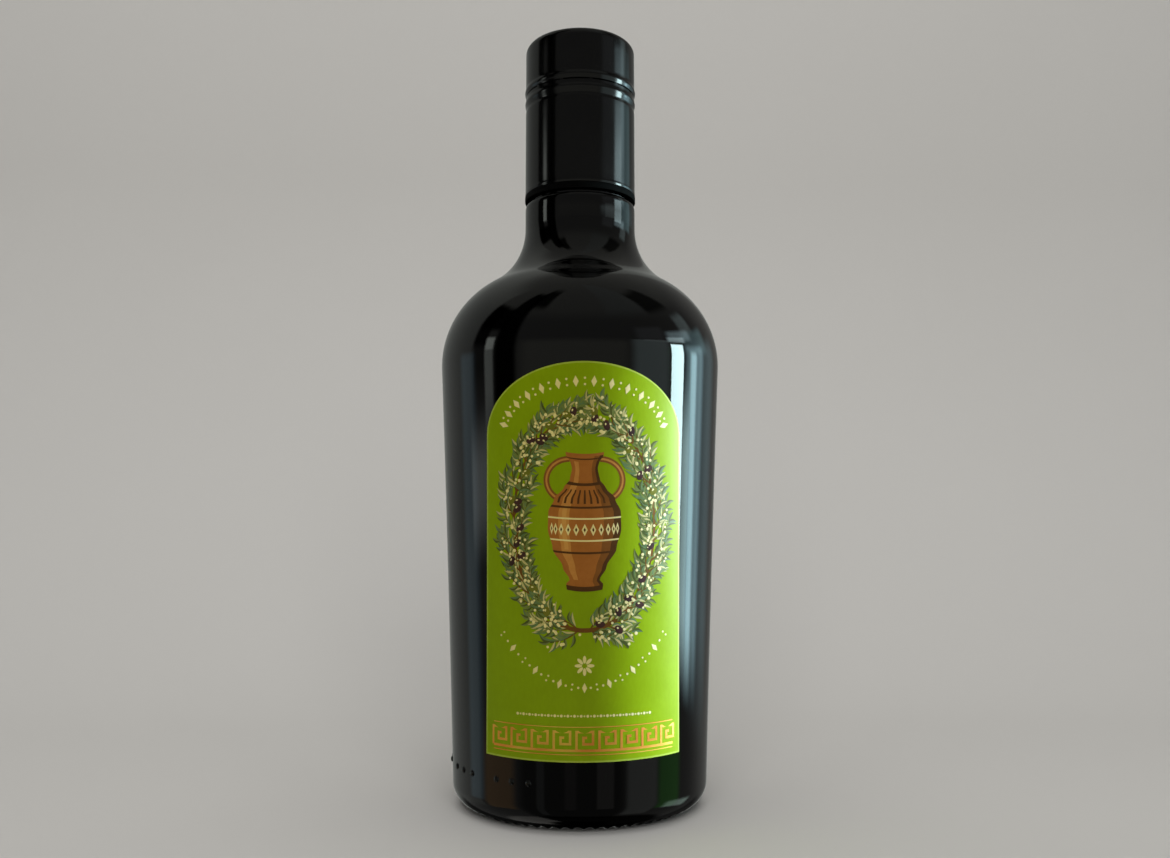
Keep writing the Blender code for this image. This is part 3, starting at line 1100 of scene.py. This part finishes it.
def addStudioFloor():
    line = [(studio["front"], 0.0), (-0.5, 0.0), (0.0, 0.0), (studio["coveStart"], 0.0)]
    centre = (studio["coveStart"], studio["coveRound"])
    line += arc(centre, (studio["coveRound"], studio["coveRound"]), -90.0, 0.0, 40)[1:]
    wall = studio["coveStart"] + studio["coveRound"]
    line += [(wall, studio["wallMiddle"]), (wall, studio["wallTop"])]
    verts, faces = [], []
    for y, z in line:
        verts += [(-studio["halfWidth"], y, z), (studio["halfWidth"], y, z)]
    for index in range(len(line) - 1):
        faces.append((2 * index, 2 * index + 1, 2 * index + 3, 2 * index + 2))
    mesh = bpy.data.meshes.new("studioFloor")
    mesh.from_pydata(verts, [], faces)
    mesh.shade_smooth()
    mesh.materials.append(paleFloorFinish())
    floor = bpy.data.objects.new("studioFloor", mesh)
    bpy.context.scene.collection.objects.link(floor)
    floor.visible_glossy = False     # the glass mirrors the soft surroundings below, not the paper


camera = {
    "distance": 299.9 * mm,
    "height": 75.07 * mm,
    "aside": 1.42 * mm,
    "turn": 2.07,                    # degrees round to the left of the label
    "pitch": 5.34,
    "lens": 32.48,
}


def addCamera():
    turn = math.radians(camera["turn"])
    data = bpy.data.cameras.new("photoCamera")
    data.sensor_width = 36.0
    data.lens = camera["lens"]
    data.clip_start = 0.01
    data.clip_end = 20.0
    seat = bpy.data.objects.new("photoCamera", data)
    bpy.context.scene.collection.objects.link(seat)
    x = -camera["distance"] * math.sin(turn) + camera["aside"] * math.cos(turn)
    y = -camera["distance"] * math.cos(turn) - camera["aside"] * math.sin(turn)
    seat.location = (x, y, camera["height"])
    seat.rotation_euler = (math.radians(90.0 + camera["pitch"]), 0.0, -turn)
    bpy.context.scene.camera = seat


# soft surroundings for the gloss, painted by direction. Angles are in degrees: azimuth from the
# camera towards the right, then height. Each entry is (from, to, softness) for both, and a colour.
roomBase = (0.12, 0.12, 0.115)
roomGlows = {
    "frontLow": ((-48, 40, 16), (-12, 16, 8), (0.10, 0.10, 0.08)),
    "frontRight": ((44, 77, 10), (-9, 17.5, 1.5), (0.36, 0.46, 0.46)),
    "frontRightHigh": ((48, 74, 8), (18, 30, 5), (0.09, 0.10, 0.11)),
    "overhead": ((-200, 200, 1), (45, 100, 20), (0.07, 0.07, 0.06)),
    "overheadRight": ((28, 74, 10), (45, 92, 12), (0.02, 0.03, 0.035)),
    "leftSide": ((-200, -98, 5), (-30, 62, 16), (0.115, 0.125, 0.115)),
    "leftBlue": ((-112, -94, 8), (-18, 9, 5), (0.12, 0.20, 0.25)),
    "leftGleam": ((-100, -80, 5), (-3.5, 1.5, 4), (0.55, 0.60, 0.60)),
    "rightSide": ((122, 200, 26), (-20, 42, 16), (0.06, 0.06, 0.055)),
    "warmFoot": ((-92, -60, 10), (-32, -13, 3), (0.22, 0.11, 0.02)),
    "greenFoot": ((74, 98, 8), (-32, -13, 4), (0.02, 0.26, 0.0)),
    "footBarLeft": ((-38, -31, 3), (-46, -12, 4), (0.15, 0.16, 0.16)),
    "footBarMiddle": ((-13, -3, 4), (-24, -12, 3), (0.09, 0.08, 0.08)),
    "footBarRight": ((15, 30, 3), (-22, -12, 3), (0.20, 0.19, 0.18)),
    "footFarRight": ((42, 72, 6), (-46, -12, 6), (0.16, 0.17, 0.16)),
    "heelGlint": ((84, 116, 10), (-33, -20, 6), (0.85, 1.15, 1.00)),
    "underLeft": ((-135, -50, 14), (-78, -56, 6), (0.28, 0.27, 0.25)),
}
roomShades = {
    "leftBlack": ((-72.5, -53, 6), (-1, 68, 6), 0.97),
    "leftBlackHigh": ((-60, -38, 8), (52, 76, 10), 0.92),
    "leftDark": ((-97, -82, 5), (14, 48, 6), 0.90),
    "leftDarkLow": ((-95, -82, 4), (4, 15, 3), 0.55),
    "leftHighDark": ((-97, -68, 8), (27, 48, 6), 0.97),
    "rightHighDark": ((72, 104, 8), (44, 66, 8), 0.80),
    "frontFoot": ((-54, 40, 14), (-60, -12, 6), 0.60),
    "underneath": ((-45, 200, 14), (-92, -52, 8), 0.90),
    "straightBelow": ((-200, 200, 1), (-92, -77, 6), 0.95),
    "footLeftBehind": ((-200, -136, 12), (-92, -24, 12), 0.85),
    "footRightBehind": ((134, 200, 12), (-92, -24, 12), 0.70),
}
roomCards = {
    "leftSlitLow": ((-82.5, -74, 3), (2, 10, 4), (0.55, 0.60, 0.56)),
    "leftSlit": ((-82.5, -74, 3), (10, 20.5, 3), (1.25, 1.35, 1.25)),
    "rightCard": ((79, 92.5, 1.2), (-8, 14.8, 1.4), (13.5, 18.5, 19.0)),
    "rightCardRim": ((54, 77, 3), (16.6, 18.2, 1.0), (0.22, 0.26, 0.26)),
    "rightUpper": ((77, 96, 5), (16.6, 20.6, 1.6), (2.0, 2.6, 2.7)),
    "rightHigher": ((78, 105, 8), (18.5, 25.5, 4), (0.95, 1.3, 1.4)),
    "rightHighest": ((96, 112, 6), (24, 37, 6), (0.35, 0.45, 0.45)),
    "rightLow": ((93, 101, 2.5), (-9, 3, 5), (2.3, 3.4, 3.4)),
    "stripCore": ((101.5, 109.3, 5), (-9.5, 10, 5), (2.9, 4.6, 5.0)),
    "stripWide": ((96, 119, 8), (-9.5, 14, 5), (1.0, 1.6, 1.8)),
    "stripTail": ((108, 138, 18), (-9.5, 16, 8), (0.24, 0.38, 0.42)),
    "stripUpper": ((94, 126, 10), (11, 24, 5), (0.30, 0.52, 0.56)),
}
paleSky = paint(0.42, 0.41, 0.395)


def addSurroundings():
    world = bpy.data.worlds.new("softRoom")
    bpy.context.scene.world = world
    world.use_nodes = True
    tree = world.node_tree
    start = Wire(tree)
    look = start.node("ShaderNodeTexCoord", output="Generated")
    x, y, z = (look.node("ShaderNodeSeparateXYZ", None, {"Vector": look}, axis) for axis in "XYZ")
    degrees = 180.0 / math.pi
    azimuth = x.maths("ARCTAN2", x, y * -1.0) * degrees + camera["turn"]
    height = z.maths("ARCSINE", z) * degrees

    def scaled(colour, mask):
        return colour.node("ShaderNodeVectorMath", {"operation": "SCALE"}, {0: colour, "Scale": mask})

    def patch(turns, rises):
        around = azimuth.inside(*turns)
        if turns[1] > 180 or turns[0] < -180:
            wrapped = azimuth + (360.0 if turns[1] > 180 else -360.0)
            around = around.maths("MAXIMUM", around, wrapped.inside(*turns))
        return around * height.inside(*rises)

    def added(total, cards):
        for turns, rises, colour in cards.values():
            card = total.node("ShaderNodeCombineXYZ", None, dict(enumerate(colour)))
            values = {0: total, 1: scaled(card, patch(turns, rises))}
            total = total.node("ShaderNodeVectorMath", {"operation": "ADD"}, values)
        return total

    total = added(start.node("ShaderNodeCombineXYZ", None, dict(enumerate(roomBase))), roomGlows)
    for turns, rises, level in roomShades.values():
        total = scaled(total, 1 - patch(turns, rises) * level)
    total = added(total, roomCards)
    world.cycles_visibility.diffuse = False      # the lamps light what isn't glossy
    seen = start.node("ShaderNodeLightPath", output="Is Camera Ray")
    tree.links.new(seen.blend(total, paleSky).socket, tree.nodes["Background"].inputs["Color"])


# soft lamps, each for the label alone or for the floor alone, so that neither spoils the other
lamps = {
    "windowKey": {"place": (0.748, 0.052, 0.12), "aim": (0.0, 0.0, 0.09), "size": (0.20, 0.55),
                  "power": 28.5, "tint": (0.90, 1.0, 1.0), "on": "label", "sheen": True},
    "warmFill": {"place": (-0.176, -0.830, 0.62), "aim": (0.0, 0.0, 0.09), "size": (0.5, 0.5),
                 "power": 4.2, "tint": (1.0, 0.72, 0.12), "on": "label", "sheen": False},
    "overheadSoft": {"place": (0.0, -0.2, 1.4), "aim": (0.0, 0.0, 0.0), "size": (1.6, 1.2),
                     "power": 9.0, "tint": (1.0, 1.0, 1.0), "on": "floor", "sheen": False},
    "frontSoft": {"place": (0.0, -1.3, 0.8), "aim": (0.0, 0.4, 0.2), "size": (1.2, 1.0),
                  "power": 13.5, "tint": (1.0, 1.0, 1.0), "on": "floor", "sheen": False},
}


def addLamps():
    lit = {"label": bpy.data.collections.new("litLabel"), "floor": bpy.data.collections.new("litFloor")}
    for piece in bpy.data.objects:
        if piece.name.startswith(("frontLabel", "labelEdge", "print")):
            lit["label"].objects.link(piece)
    lit["floor"].objects.link(bpy.data.objects["studioFloor"])
    for name, look in lamps.items():
        data = bpy.data.lights.new(name, "AREA")
        data.shape = "RECTANGLE"
        data.size, data.size_y = look["size"]
        data.energy = look["power"]
        data.color = look["tint"]
        lamp = bpy.data.objects.new(name, data)
        bpy.context.scene.collection.objects.link(lamp)
        place, aim = Vector(look["place"]), Vector(look["aim"])
        lamp.location = place
        lamp.rotation_euler = (aim - place).to_track_quat("-Z", "Y").to_euler()
        lamp.visible_camera = False
        lamp.visible_glossy = look["sheen"]
        lamp.visible_transmission = False
        lamp.light_linking.receiver_collection = lit[look["on"]]


addStudioFloor()
addCamera()
addSurroundings()
addLamps()
bpy.context.scene.view_settings.view_transform = "Standard"
print("studio made")
